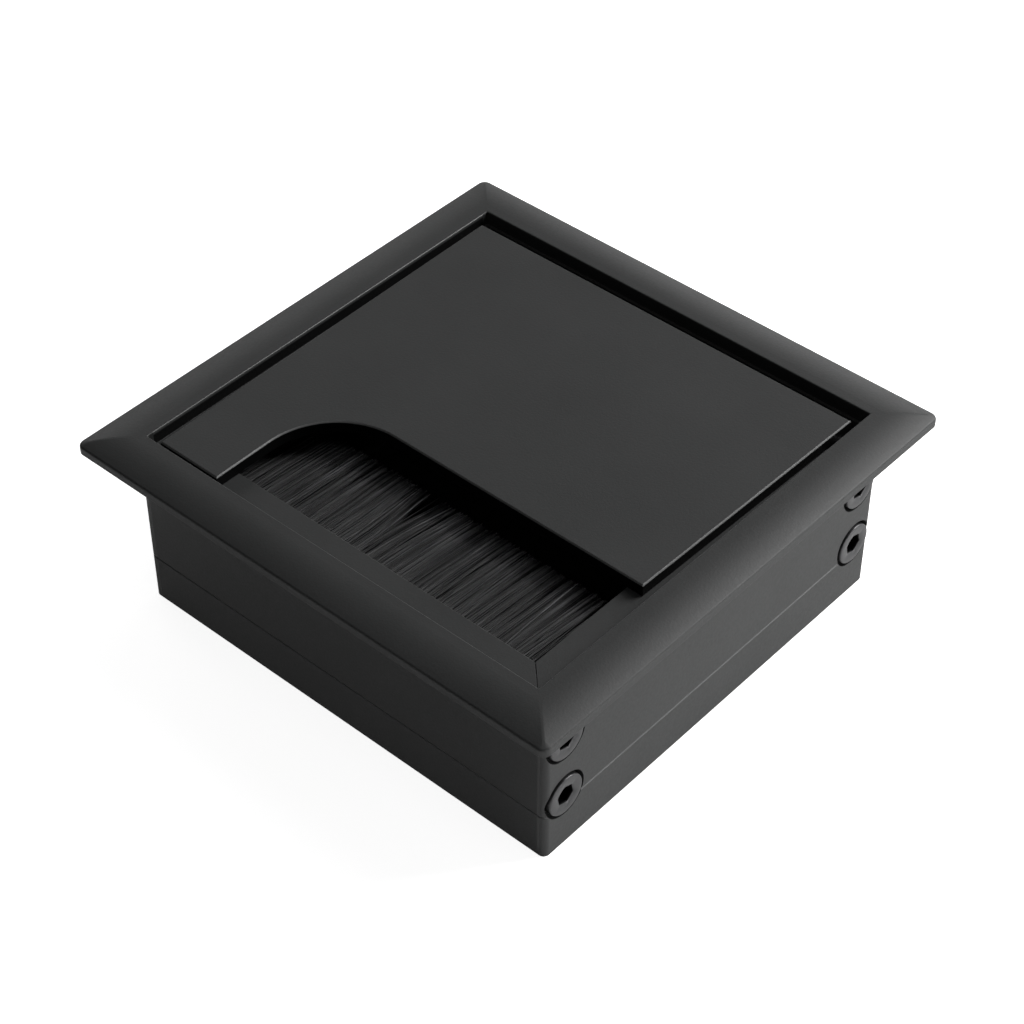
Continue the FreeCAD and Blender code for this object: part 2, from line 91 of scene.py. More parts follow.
class NodeSheet:
    """A new material and its shader tree, with short calls that add and join nodes."""

    def __init__(self, name: str) -> None:
        """Start an empty node tree.

        Args:
            name: The material's name.
        """
        self.material = bpy.data.materials.new(name)
        self.material.use_nodes = True
        self.tree = self.material.node_tree
        self.tree.nodes.clear()
        self.output = self.tree.nodes.new("ShaderNodeOutputMaterial")

    def add(self, kind: str, **sockets: object) -> bpy.types.Node:
        """Add a node and set its inputs.

        Args:
            kind: Blender's name for the node type.
            sockets: Values for the node's inputs, with underscores for spaces in their names.

        Returns:
            The new node.
        """
        node = self.tree.nodes.new(kind)
        for name, value in sockets.items():
            node.inputs[name.replace("_", " ")].default_value = value
        return node

    def join(self, source: Socket, target: Socket) -> None:
        """Link an output socket to an input socket."""
        self.tree.links.new(source, target)

    def surface(self, shader: bpy.types.Node) -> bpy.types.Material:
        """Use a shader as the surface.

        Args:
            shader: The node whose first output is the surface.

        Returns:
            The finished material.
        """
        self.join(shader.outputs[0], self.output.inputs["Surface"])
        return self.material

    def place(self, output: str = "Object") -> Socket:
        """The surface point in the piece's own frame, or another output of that node."""
        return self.add("ShaderNodeTexCoord").outputs[output]

    def attribute(self, name: str) -> Socket:
        """Read a number that the piece's vertices carry.

        Args:
            name: The attribute's name.

        Returns:
            The number.
        """
        carried = self.add("ShaderNodeAttribute")
        carried.attribute_name = name
        return carried.outputs["Fac"]

    def parts_of(self, vector: Socket) -> tuple:
        """Split a vector.

        Args:
            vector: The vector.

        Returns:
            Its X, Y and Z sockets.
        """
        split = self.add("ShaderNodeSeparateXYZ")
        self.join(vector, split.inputs["Vector"])
        return tuple(split.outputs)

    def number(self, operation: str, *values: object) -> Socket:
        """Work out a number from sockets or plain values.

        Args:
            operation: Blender's name for the operation.
            values: The operands.

        Returns:
            The result.
        """
        step = self.add("ShaderNodeMath")
        step.operation = operation
        for slot, value in enumerate(values):
            if isinstance(value, Socket):
                self.join(value, step.inputs[slot])
            else:
                step.inputs[slot].default_value = value
        return step.outputs[0]

    def within(self, value: Socket, half: float) -> Socket:
        """1 where a value lies less than half away from 0 on either side, and else 0."""
        return self.number("LESS_THAN", self.number("ABSOLUTE", value), half)

    def blend(self, share: Socket, first: Socket, second: Socket) -> Socket:
        """Mix two vectors.

        Args:
            share: Share of the second vector.
            first: One vector.
            second: The other vector.

        Returns:
            The mixed vector.
        """
        mix = self.add("ShaderNodeMix")
        mix.data_type = "VECTOR"
        ports = {socket.identifier: socket for socket in mix.inputs}
        self.join(share, ports["Factor_Float"])
        self.join(first, ports["A_Vector"])
        self.join(second, ports["B_Vector"])
        return next(socket for socket in mix.outputs if socket.identifier == "Result_Vector")

    def mapped(self, value: Socket, source: tuple, result: tuple) -> Socket:
        """Map a value from one range to another, held at both ends.

        Args:
            value: What is mapped.
            source: The values that give the ends of the result.
            result: The two ends of the result.

        Returns:
            The mapped value.
        """
        ramp = self.add("ShaderNodeMapRange", From_Min=source[0], From_Max=source[1])
        ramp.inputs["To Min"].default_value, ramp.inputs["To Max"].default_value = result
        self.join(value, ramp.inputs["Value"])
        return ramp.outputs["Result"]

    def object_noise(self, scale: float, detail: float, roughness: float) -> Socket:
        """Noise over the piece's own coordinates.

        Args:
            scale: Noise cells per metre.
            detail: Number of finer layers.
            roughness: Weight of the finer layers.

        Returns:
            The noise value, from 0 to 1.
        """
        noise = self.add("ShaderNodeTexNoise", Scale=scale, Detail=detail, Roughness=roughness)
        self.join(self.place(), noise.inputs["Vector"])
        return noise.outputs["Fac"]

    def tint(self, noise: Socket, dark: tuple, light: tuple) -> Socket:
        """Blend two colours over the middle of a noise value.

        Args:
            noise: Noise from 0, dark, to 1, light.
            dark: Linear red, green and blue.
            light: Linear red, green and blue.

        Returns:
            The blended colour.
        """
        ramp = self.add("ShaderNodeValToRGB")
        for stop, place, colour in zip(ramp.color_ramp.elements, NOISE_MIDDLE, (dark, light)):
            stop.position = place
            stop.color = (*colour, 1.0)
        self.join(noise, ramp.inputs["Fac"])
        return ramp.outputs["Color"]

    def scaled(self, colour: Socket | tuple, share: Socket) -> Socket:
        """Multiply a colour, which darkens or lightens it.

        Args:
            colour: The colour, as a socket or as linear red, green and blue.
            share: What it is multiplied by.

        Returns:
            The new colour.
        """
        step = self.add("ShaderNodeVectorMath")
        step.operation = "SCALE"
        if isinstance(colour, tuple):
            step.inputs[0].default_value = colour
        else:
            self.join(colour, step.inputs[0])
        self.join(share, step.inputs["Scale"])
        return step.outputs[0]

    def relief(self, height: Socket, depth: float, under: Socket | None = None) -> Socket:
        """Turn a height into a bumped normal.

        Args:
            height: Height from 0 to 1.
            depth: What a height of 1 measures, in metres.
            under: A normal that the bump lies on, if there is one.

        Returns:
            The normal.
        """
        bump = self.add("ShaderNodeBump", Strength=1.0, Distance=depth)
        self.join(height, bump.inputs["Height"])
        if under is not None:
            self.join(under, bump.inputs["Normal"])
        return bump.outputs["Normal"]


def flange_corner() -> tuple[float, float, float]:
    """Half of the flange's size along X and along Y, and the height of its upper face."""
    side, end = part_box("frame_right")[1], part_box("frame_back")[1]
    return side.x, end.y, end.z


def inside_flange(sheet: NodeSheet, inset_x: float, inset_y: float) -> Socket:
    """Tell the middle of the object, seen from above, from what lies round it.

    Args:
        sheet: The shader tree.
        inset_x: How far in from the flange's outer edge the middle ends along X.
        inset_y: The same along Y.

    Returns:
        1 in the middle, and 0 elsewhere.
    """
    x, y, _ = sheet.parts_of(sheet.place())
    half_x, half_y, _ = flange_corner()
    in_x, in_y = sheet.within(x, half_x - inset_x), sheet.within(y, half_y - inset_y)
    return sheet.number("MULTIPLY", in_x, in_y)


def background_level(
    tree: bpy.types.NodeTree, base: float, seen: float, mirrored: float
) -> Socket:
    """Strength of a pale background, by the kind of ray that meets it.

    Args:
        tree: The shader tree of the floor or the world.
        base: Strength for every ray.
        seen: What is added where the camera looks straight at it.
        mirrored: What is added where a glossy or a clear surface shows it.

    Returns:
        The base plus each addition times its ray's flag.
    """
    path = tree.nodes.new("ShaderNodeLightPath")
    total = None
    rays = (
        ("Is Camera Ray", seen),
        ("Is Glossy Ray", mirrored),
        ("Is Transmission Ray", mirrored),
    )
    for ray, strength in rays:
        step = tree.nodes.new("ShaderNodeMath")
        step.operation = "MULTIPLY_ADD"
        step.inputs[1].default_value = strength
        step.inputs[2].default_value = base
        tree.links.new(path.outputs[ray], step.inputs[0])
        if total is not None:
            tree.links.new(total, step.inputs[2])
        total = step.outputs[0]
    return total


@dataclass(frozen=True)
class SatinCoat:
    """Satin black coat, with a very fine grain and a faint cloudy tone.

    Shares are what the coat's colour and shine are multiplied by: painted shade where they fall
    below 1, painted highlight where they rise above it. The painted rim highlight is added to that
    along the lid's upper rim. The seat's places are measured in from the flange's outer edge and
    down from its upper face, and the rim's height down from the lid's.
    """

    dark: tuple = (0.0255, 0.0262, 0.0262)
    light: tuple = (0.0305, 0.0312, 0.0312)
    shine: float = 0.35
    low_gloss: float = 0.52
    high_gloss: float = 0.44
    grain_per_metre: float = 2600.0
    grain_detail: float = 2.0
    grain_roughness: float = 0.6
    grain_depth: float = 0.017 * MM
    cloud_per_metre: float = 55.0
    cloud_detail: float = 3.0
    cloud_roughness: float = 0.5
    edge_radius: float = 0.13 * MM
    edge_samples: int = 6
    mitre_blend: float = 0.45 * MM
    painted_edge_shade: float = 0.12
    painted_shade_slope: tuple = (0.2, 0.6)
    painted_rim_highlight: float = 1.3
    rim_height: float = 0.3 * MM
    rim_slope: float = 0.97
    # Painted shade on the seat's side walls, and painted highlights on their upper edges and in the
    # groove.
    seat_painted_shade: float = 0.2
    seat_inset_x: float = 7.35 * MM
    seat_inset_y: float = 8.55 * MM
    seat_depth: float = 2.3 * MM
    seat_edge: tuple = (0.65 * MM, 0.3 * MM)
    seat_edge_painted_highlight: float = 2.0
    groove_z: float = 8.2 * MM
    groove_half: float = 0.2 * MM
    groove_painted_highlight: float = 2.2

    def material(self, name: str, mitred: bool) -> bpy.types.Material:
        """Make the material.

        Args:
            name: The material's name.
            mitred: Whether the coat runs over the frame's mitres and softens them. If not, it
                lies on a plate, whose upright edges get painted shade and whose upper rim gets a
                painted highlight.

        Returns:
            The material.
        """
        sheet = NodeSheet(name)
        skin = sheet.add("ShaderNodeBsdfPrincipled")
        cloud = sheet.object_noise(self.cloud_per_metre, self.cloud_detail, self.cloud_roughness)
        grain = sheet.object_noise(self.grain_per_metre, self.grain_detail, self.grain_roughness)
        tone = sheet.tint(cloud, self.dark, self.light)
        gloss = sheet.mapped(grain, NOISE_MIDDLE, (self.high_gloss, self.low_gloss))
        edges = sheet.add("ShaderNodeBevel", Radius=self.edge_radius)
        edges.samples = self.edge_samples
        under = edges.outputs["Normal"]
        if mitred:
            under = self.soft_mitre(sheet, under)
        # Painted shade and painted highlights, as factors on the coat's colour and shine.
        level = self.frame_painted_light(sheet) if mitred else self.plate_painted_light(sheet)
        shine = sheet.number("MULTIPLY", level, self.shine)
        sheet.join(gloss, skin.inputs["Roughness"])
        sheet.join(shine, skin.inputs["Specular IOR Level"])
        sheet.join(sheet.scaled(tone, level), skin.inputs["Base Color"])
        sheet.join(sheet.relief(grain, self.grain_depth, under), skin.inputs["Normal"])
        return sheet.surface(skin)

    def plate_painted_light(self, sheet: NodeSheet) -> Socket:
        """How light the coat is on a plate, by the slope of its surface as it was made.

        Args:
            sheet: The coat's shader tree.

        Returns:
            1 on the level faces, falling to the painted edge shade on the upright edges, with the
            painted rim highlight added along the rounded upper rim.
        """
        slope = sheet.number("ABSOLUTE", sheet.parts_of(sheet.place("Normal"))[2])
        # Painted shade on the upright edges, by slope.
        share = sheet.mapped(slope, self.painted_shade_slope, (self.painted_edge_shade, 1.0))
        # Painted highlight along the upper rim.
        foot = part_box("lid")[1].z - self.rim_height
        high = sheet.number("GREATER_THAN", sheet.parts_of(sheet.place())[2], foot)
        rounded = sheet.number("LESS_THAN", slope, self.rim_slope)
        rim = sheet.number("MULTIPLY", high, rounded)
        return sheet.number("MULTIPLY_ADD", rim, self.painted_rim_highlight, share)

    def frame_painted_light(self, sheet: NodeSheet) -> Socket:
        """How light the coat is on the frame, by place.

        Args:
            sheet: The coat's shader tree.

        Returns:
            1 on the open faces, less on the side walls of the lid's seat as painted shade, and more
            on their upper edges and in the groove round the body as painted highlights.
        """
        z = sheet.parts_of(sheet.place())[2]
        top = flange_corner()[2]
        middle = inside_flange(sheet, self.seat_inset_x, self.seat_inset_y)
        above = sheet.number("GREATER_THAN", z, top - self.seat_depth)
        seat = sheet.number("MULTIPLY", middle, above)
        # Painted shade on the seat walls, rising to a painted highlight at their upper edge.
        edge = tuple(top - depth for depth in self.seat_edge)
        changes = (self.seat_painted_shade - 1.0, self.seat_edge_painted_highlight - 1.0)
        wall = sheet.mapped(z, edge, changes)
        # Painted highlight in the groove round the body.
        groove = sheet.within(sheet.number("SUBTRACT", z, self.groove_z), self.groove_half)
        level = sheet.number("MULTIPLY_ADD", groove, self.groove_painted_highlight - 1.0, 1.0)
        return sheet.number("MULTIPLY_ADD", seat, wall, level)

    def soft_mitre(self, sheet: NodeSheet, eased: Socket) -> Socket:
        """Let the normals of two profiles run into each other at their mitre.

        The mitres lie where X and Y, without their signs, differ as the flange's half sizes do.
        Near them the normal is a blend of the surface's own and of its mirror image in the mitre
        plane, which swaps its X and Y and takes the sign of X times Y. On the plane both weigh
        the same.

        Args:
            sheet: The coat's shader tree.
            eased: The normal away from the mitres.

        Returns:
            The blended normal.
        """
        x, y, _ = sheet.parts_of(sheet.place())
        far_x, far_y = sheet.number("ABSOLUTE", x), sheet.number("ABSOLUTE", y)
        half_x, half_y, _ = flange_corner()
        across = sheet.number("SUBTRACT", far_x, far_y)
        gap = sheet.number("ABSOLUTE", sheet.number("SUBTRACT", across, half_x - half_y))
        near = sheet.add("ShaderNodeMapRange", From_Max=self.mitre_blend, To_Min=1.0, To_Max=0.0)
        near.interpolation_type = "SMOOTHSTEP"
        sheet.join(gap, near.inputs["Value"])
        sign = sheet.number("SIGN", sheet.number("MULTIPLY", x, y))
        plain = sheet.add("ShaderNodeNewGeometry").outputs["Normal"]
        plain_x, plain_y, plain_z = sheet.parts_of(plain)
        image = sheet.add("ShaderNodeCombineXYZ")
        sheet.join(sheet.number("MULTIPLY", plain_y, sign), image.inputs["X"])
        sheet.join(sheet.number("MULTIPLY", plain_x, sign), image.inputs["Y"])
        sheet.join(plain_z, image.inputs["Z"])
        half = sheet.number("MULTIPLY", near.outputs["Result"], 0.5)
        here = sheet.blend(near.outputs["Result"], eased, plain)
        both = sheet.blend(half, here, image.outputs["Vector"])
        level = sheet.add("ShaderNodeVectorMath")
        level.operation = "NORMALIZE"
        sheet.join(both, level.inputs[0])
        return level.outputs["Vector"]


@dataclass(frozen=True)
class DarkSteel:
    """Black oxide on steel, a little glossier than the coat, with a fine mottle.

    Each vertex carries how much of its tone and shine it shows, as painted shade.
    """

    colour: tuple = (0.030, 0.030, 0.032)
    worn: tuple = (0.055, 0.055, 0.057)
    metal: float = 0.55
    low_gloss: float = 0.42
    high_gloss: float = 0.30
    mottle_per_metre: float = 1800.0
    mottle_detail: float = 4.0
    mottle_roughness: float = 0.6
    mottle_depth: float = 0.006 * MM
    shade_name: str = "socket_shade"

    def material(self, name: str) -> bpy.types.Material:
        """Make the material.

        Args:
            name: The material's name.

        Returns:
            The material.
        """
        sheet = NodeSheet(name)
        skin = sheet.add("ShaderNodeBsdfPrincipled", Metallic=self.metal)
        mottle = sheet.object_noise(
            self.mottle_per_metre, self.mottle_detail, self.mottle_roughness
        )
        shade = sheet.attribute(self.shade_name)
        tone = sheet.scaled(sheet.tint(mottle, self.colour, self.worn), shade)
        gloss = sheet.mapped(mottle, NOISE_MIDDLE, (self.high_gloss, self.low_gloss))
        sheet.join(tone, skin.inputs["Base Color"])
        sheet.join(shade, skin.inputs["Specular IOR Level"])
        sheet.join(gloss, skin.inputs["Roughness"])
        sheet.join(sheet.relief(mottle, self.mottle_depth), skin.inputs["Normal"])
        return sheet.surface(skin)


@dataclass(frozen=True)
class BrightSteel:
    """Drawn or rolled steel with fine lines along X."""

    dark: tuple = (0.30, 0.30, 0.31)
    light: tuple = (0.46, 0.46, 0.47)
    rough: float = 0.34
    lines_per_metre: float = 5200.0
    line_detail: float = 3.0
    line_stretch: float = 0.03
    line_depth: float = 0.004 * MM

    def material(self, name: str) -> bpy.types.Material:
        """Make the material.

        Args:
            name: The material's name.

        Returns:
            The material.
        """
        sheet = NodeSheet(name)
        skin = sheet.add("ShaderNodeBsdfPrincipled", Metallic=1.0, Roughness=self.rough)
        along = sheet.add("ShaderNodeMapping", Scale=(self.line_stretch, 1.0, 1.0))
        noise = sheet.add(
            "ShaderNodeTexNoise", Scale=self.lines_per_metre, Detail=self.line_detail
        )
        sheet.join(sheet.place(), along.inputs["Vector"])
        sheet.join(along.outputs["Vector"], noise.inputs["Vector"])
        lines = noise.outputs["Fac"]
        sheet.join(sheet.tint(lines, self.dark, self.light), skin.inputs["Base Color"])
        sheet.join(sheet.relief(lines, self.line_depth), skin.inputs["Normal"])
        return sheet.surface(skin)


@dataclass(frozen=True)
class Filament:
    """Black nylon filament, whose vertices carry how light it is."""

    colour: tuple = (0.0150, 0.0150, 0.0154)
    shine: float = 0.22
    rough: float = 0.45
    tone_and_light_name: str = "filament_tone"

    def material(self, name: str) -> bpy.types.Material:
        """Make the material.

        Args:
            name: The material's name.

        Returns:
            The material.
        """
        sheet = NodeSheet(name)
        skin = sheet.add(
            "ShaderNodeBsdfPrincipled", Roughness=self.rough, Specular_IOR_Level=self.shine
        )
        tone = sheet.scaled(self.colour, sheet.attribute(self.tone_and_light_name))
        sheet.join(tone, skin.inputs["Base Color"])
        return sheet.surface(skin)


@dataclass(frozen=True)
class PaleFloor:
    """Pale floor that the camera sees as white, with the object's soft shadow left on it.

    In the well under the object it neither glows nor is pale, which paints shade there. The
    well's insets are measured from the flange's outer edge.
    """

    colour: float = 0.80
    well_painted_shade: float = 0.01
    seen: float = 0.88
    mirrored: float = 0.155
    well_inset_x: float = 6.8 * MM
    well_inset_y: float = 7.3 * MM

    def material(self, name: str) -> bpy.types.Material:
        """Make the material.

        Args:
            name: The material's name.

        Returns:
            The material.
        """
        sheet = NodeSheet(name)
        # Painted shade: no glow and a nearly black colour under the object's middle.
        well = inside_flange(sheet, self.well_inset_x, self.well_inset_y)
        paint = sheet.add("ShaderNodeBsdfDiffuse")
        colour = sheet.mapped(well, (0.0, 1.0), (self.colour, self.well_painted_shade))
        sheet.join(colour, paint.inputs["Color"])
        glow = sheet.add("ShaderNodeEmission")
        level = background_level(sheet.tree, 0.0, self.seen, self.mirrored)
        outside = sheet.number("SUBTRACT", 1.0, well)
        sheet.join(sheet.number("MULTIPLY", level, outside), glow.inputs["Strength"])
        both = sheet.add("ShaderNodeAddShader")
        sheet.join(paint.outputs[0], both.inputs[0])
        sheet.join(glow.outputs[0], both.inputs[1])
        return sheet.surface(both)


def mesh_piece(
    name: str, points: np.ndarray, quads: np.ndarray, tris: np.ndarray | None = None
) -> bpy.types.Object:
    """Put worked-out points and faces into a new smooth piece.

    Args:
        name: The piece's name.
        points: Array of vertices, one row of X, Y and Z each.
        quads: Array of faces, four vertex numbers each.
        tris: Array of faces, three vertex numbers each, if there are any.

    Returns:
        The piece, linked to the scene at the origin.
    """
    corners = [quads.ravel()]
    sizes = [np.full(len(quads), 4)]
    if tris is not None:
        corners.append(tris.ravel())
        sizes.append(np.full(len(tris), 3))
    loops = np.concatenate(corners).astype(np.int32)
    counts = np.concatenate(sizes).astype(np.int32)
    starts = np.concatenate(([0], np.cumsum(counts)[:-1])).astype(np.int32)
    mesh = bpy.data.meshes.new(name)
    mesh.vertices.add(len(points))
    mesh.vertices.foreach_set("co", points.astype(np.float32).ravel())
    mesh.loops.add(len(loops))
    mesh.loops.foreach_set("vertex_index", loops)
    mesh.polygons.add(len(counts))
    mesh.polygons.foreach_set("loop_start", starts)
    mesh.polygons.foreach_set("use_smooth", np.ones(len(counts), dtype=bool))
    mesh.update(calc_edges=True)
    mesh.validate()
    piece = bpy.data.objects.new(name, mesh)
    bpy.context.scene.collection.objects.link(piece)
    return piece


def tube_quads(rings: int, sides: int) -> np.ndarray:
    """Faces between the rings of a tube, whose vertices run ring by ring.

    Args:
        rings: Number of rings.
        sides: Number of vertices in a ring.

    Returns:
        Array of faces, four vertex numbers each.
    """
    ring = np.arange(rings - 1)[:, None] * sides
    side = np.arange(sides)[None, :]
    after = (side + 1) % sides
    return np.stack(
        [ring + side, ring + after, ring + sides + after, ring + sides + side], axis=-1
    ).reshape(-1, 4)


def carry(piece: bpy.types.Object, name: str, values: np.ndarray) -> None:
    """Let a piece's vertices carry a number each, for its material.

    Args:
        piece: The piece.
        name: The attribute's name.
        values: A number for each vertex, in the order of the vertices.
    """
    attribute = piece.data.attributes.new(name, "FLOAT", "POINT")
    attribute.data.foreach_set("value", values.astype(np.float32).ravel())


def smooth_step(value: np.ndarray) -> np.ndarray:
    """Rise from 0 to 1 with level ends, as three squares less two cubes of the value."""
    held = np.clip(value, 0.0, 1.0)
    return held * held * (3.0 - 2.0 * held)


@dataclass
class Frame:
    """The four mitred profiles and the lid plate, which keep their solids."""

    coat: SatinCoat = SatinCoat()

    def build(self) -> None:
        """Coat the profiles and the lid."""
        coat = self.coat.material("satin_black_coat", True)
        for name in PROFILES:
            dress(name, coat)
        dress("lid", self.coat.material("satin_black_lid_coat", False))


@dataclass
class Hinge:
    """The two steel pins that carry the lid."""

    steel: BrightSteel = BrightSteel()

    def build(self) -> None:
        """Give the pins their ground steel."""
        steel = self.steel.material("ground_steel")
        for name in PINS:
            dress(name, steel)


@dataclass
class Screws:
    """Socket head screws, M4 with low heads, two at each end of both side profiles.

    The seat rings are the head's lowest ones, which the counterbore hides, and the deep rings
    are the socket's last ones.
    """

    head_radius: float = 3.4 * MM
    head_height: float = 2.0 * MM
    edge_radius: float = 0.22 * MM
    seat_rounding: float = 0.1 * MM
    face_dish: float = 0.04 * MM
    socket_flats: float = 3.0 * MM
    socket_depth: float = 1.8 * MM
    socket_chamfer: float = 0.15 * MM
    shade_fade_depth: float = 0.35 * MM
    socket_turn: float = math.radians(12.0)
    shank_length: float = 12.0 * MM
    shank_radius: float = 1.95 * MM
    thread_pitch: float = 0.7 * MM
    thread_depth: float = 0.36 * MM
    tip_taper: float = 0.6 * MM
    sides: int = 48
    samples_per_turn: int = 6
    edge_rings: int = 6
    sharp_angle: float = math.radians(38.0)
    seat_rings: int = 2
    deep_rings: int = 2
    # Painted shade on the shank and the head's seat in the counterbore, and on the socket's deep
    # walls and floor.
    bore_shade: float = 0.35
    socket_shade: float = 0.04
    steel: DarkSteel = DarkSteel()

    def build(self) -> None:
        """Make each screw where its solid is, and let it stand for that solid."""
        steel = self.steel.material("black_oxide_steel")
        for side in Side:
            for end in ("front", "back"):
                for level in ("lower", "upper"):
                    self.place(side, f"screw_{side.name.lower()}_{end}_{level}", steel)

    def place(self, side: Side, node: str, steel: bpy.types.Material) -> None:
        """Make one screw.

        Args:
            side: The side that it enters.
            node: The CAD node that it stands for.
            steel: Its material.
        """
        low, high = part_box(node)
        middle = (low + high) / 2.0
        crown_x = high.x if side is Side.RIGHT else low.x
        seat_x = crown_x - side.value * self.head_height
        points, quads, tris = self.surface()
        points = points * np.array([side.value, side.value, 1.0])
        points = points + np.array([seat_x, middle.y, middle.z])
        piece = mesh_piece(node + "_socket_screw", points, quads, tris)
        piece.data.set_sharp_from_angle(angle=self.sharp_angle)
        carry(piece, self.steel.shade_name, self.shades(len(points)))
        finish_piece(piece, steel, FRAME_BODY, node)

    def turns(self) -> np.ndarray:
        """Angle of each vertex of a ring, from 0 up to a full turn."""
        return np.arange(self.sides) * 2.0 * math.pi / self.sides

    def thread(self) -> tuple[np.ndarray, np.ndarray]:
        """The shank, from its tip to the head's underside.

        The radius falls from the shank's by the thread's depth times a triangle wave of the
        distance along the screw in pitches, less the turn angle in full turns. It tapers at
        the tip.

        Returns:
            Each ring's place along X, and each vertex's radius, ring by ring.
        """
        rings = int(self.shank_length / self.thread_pitch * self.samples_per_turn) + 1
        along = np.linspace(-self.shank_length, 0.0, rings)
        turn = np.arange(self.sides) / self.sides
        phase = (along[:, None] / self.thread_pitch - turn[None, :]) % 1.0
        wave = 1.0 - np.abs(2.0 * phase - 1.0)
        ease = smooth_step((along + self.shank_length) / self.tip_taper)[:, None]
        radius = self.shank_radius - self.thread_depth * (1.0 - ease * (1.0 - wave))
        return along, radius

    def head(self) -> tuple[np.ndarray, np.ndarray]:
        """The head's outline: a straight side, then a quarter circle up to the flat face.

        The edge is the centre of its rounding plus the rounding's radius times the cosine and
        sine of a quarter turn. The face dips a little toward the socket.

        Returns:
            Place along X and radius of each ring, from the head's underside to its face.
        """
        quarter = np.linspace(0.0, math.pi / 2.0, self.edge_rings)
        edge_x = self.head_height - self.edge_radius * (1.0 - np.sin(quarter))
        edge_r = self.head_radius - self.edge_radius * (1.0 - np.cos(quarter))
        x = np.concatenate(([0.0, self.seat_rounding], edge_x))
        r = np.concatenate(([self.head_radius - self.seat_rounding, self.head_radius], edge_r))
        return x, r

    def socket(self) -> tuple[np.ndarray, np.ndarray]:
        """The hexagonal socket, from its chamfered mouth to its floor.

        A hexagon's radius is half its flats divided by the cosine of the angle from the
        middle of the nearest flat.

        Returns:
            Place along X and each vertex's radius, ring by ring.
        """
        flat = math.pi / 3.0
        off_flat = (self.turns() + flat / 2.0) % flat - flat / 2.0
        hexagon = self.socket_flats / 2.0 / np.cos(off_flat)
        mouth = np.full(self.sides, self.socket_flats / math.sqrt(3.0) + self.socket_chamfer)
        mouth_x = self.head_height - self.face_dish
        floor_x = self.head_height - self.socket_depth
        edge_x = mouth_x - self.socket_chamfer
        x = np.array([mouth_x, edge_x, edge_x - self.shade_fade_depth, floor_x])
        return x, np.stack([mouth, hexagon, hexagon, hexagon])

    def shades(self, points: int) -> np.ndarray:
        """How much of its tone each vertex shows, with painted shade on what lies deep.

        Args:
            points: Number of vertices, whose last rings are the socket's, before two end points.

        Returns:
            The bore's painted shade up to the head's side, 1 on the head's face and the socket's
            mouth, and the socket's painted shade on its deeper walls and floor.
        """
        shank_x, _ = self.thread()
        in_bore = (len(shank_x) + self.seat_rings) * self.sides
        in_socket = self.deep_rings * self.sides + 2
        shade = np.ones(points)
        # Painted shade on what lies in the bore and deep in the socket.
        shade[:in_bore] = self.bore_shade
        shade[-in_socket:] = self.socket_shade
        return shade

    def surface(self) -> tuple[np.ndarray, np.ndarray, np.ndarray]:
        """The whole screw as one closed surface round the X axis, its head's seat at X = 0.

        Each ring is a place along X with a radius at each angle, and both ends close on a
        point of the axis.

        Returns:
            Vertices, faces of four and faces of three.
        """
        shank_x, shank_r = self.thread()
        head_x, head_r = self.head()
        socket_x, socket_r = self.socket()
        x = np.concatenate([shank_x, head_x, socket_x])
        r = np.concatenate([shank_r, np.repeat(head_r[:, None], self.sides, axis=1), socket_r])
        turn = self.turns() + self.socket_turn
        y = r * np.cos(turn)[None, :]
        z = r * np.sin(turn)[None, :]
        rings = np.stack([np.repeat(x[:, None], self.sides, axis=1), y, z], axis=-1)
        tip = len(x) * self.sides
        ends = np.array([[x[0], 0.0, 0.0], [x[-1], 0.0, 0.0]])
        points = np.concatenate([rings.reshape(-1, 3), ends])
        side = np.arange(self.sides)
        after = (side + 1) % self.sides
        last = (len(x) - 1) * self.sides
        tip_fan = np.stack([after, side, np.full(self.sides, tip)], axis=-1)
        floor_fan = np.stack([last + side, last + after, np.full(self.sides, tip + 1)], axis=-1)
        return points, tube_quads(len(x), self.sides), np.concatenate([tip_fan, floor_fan])


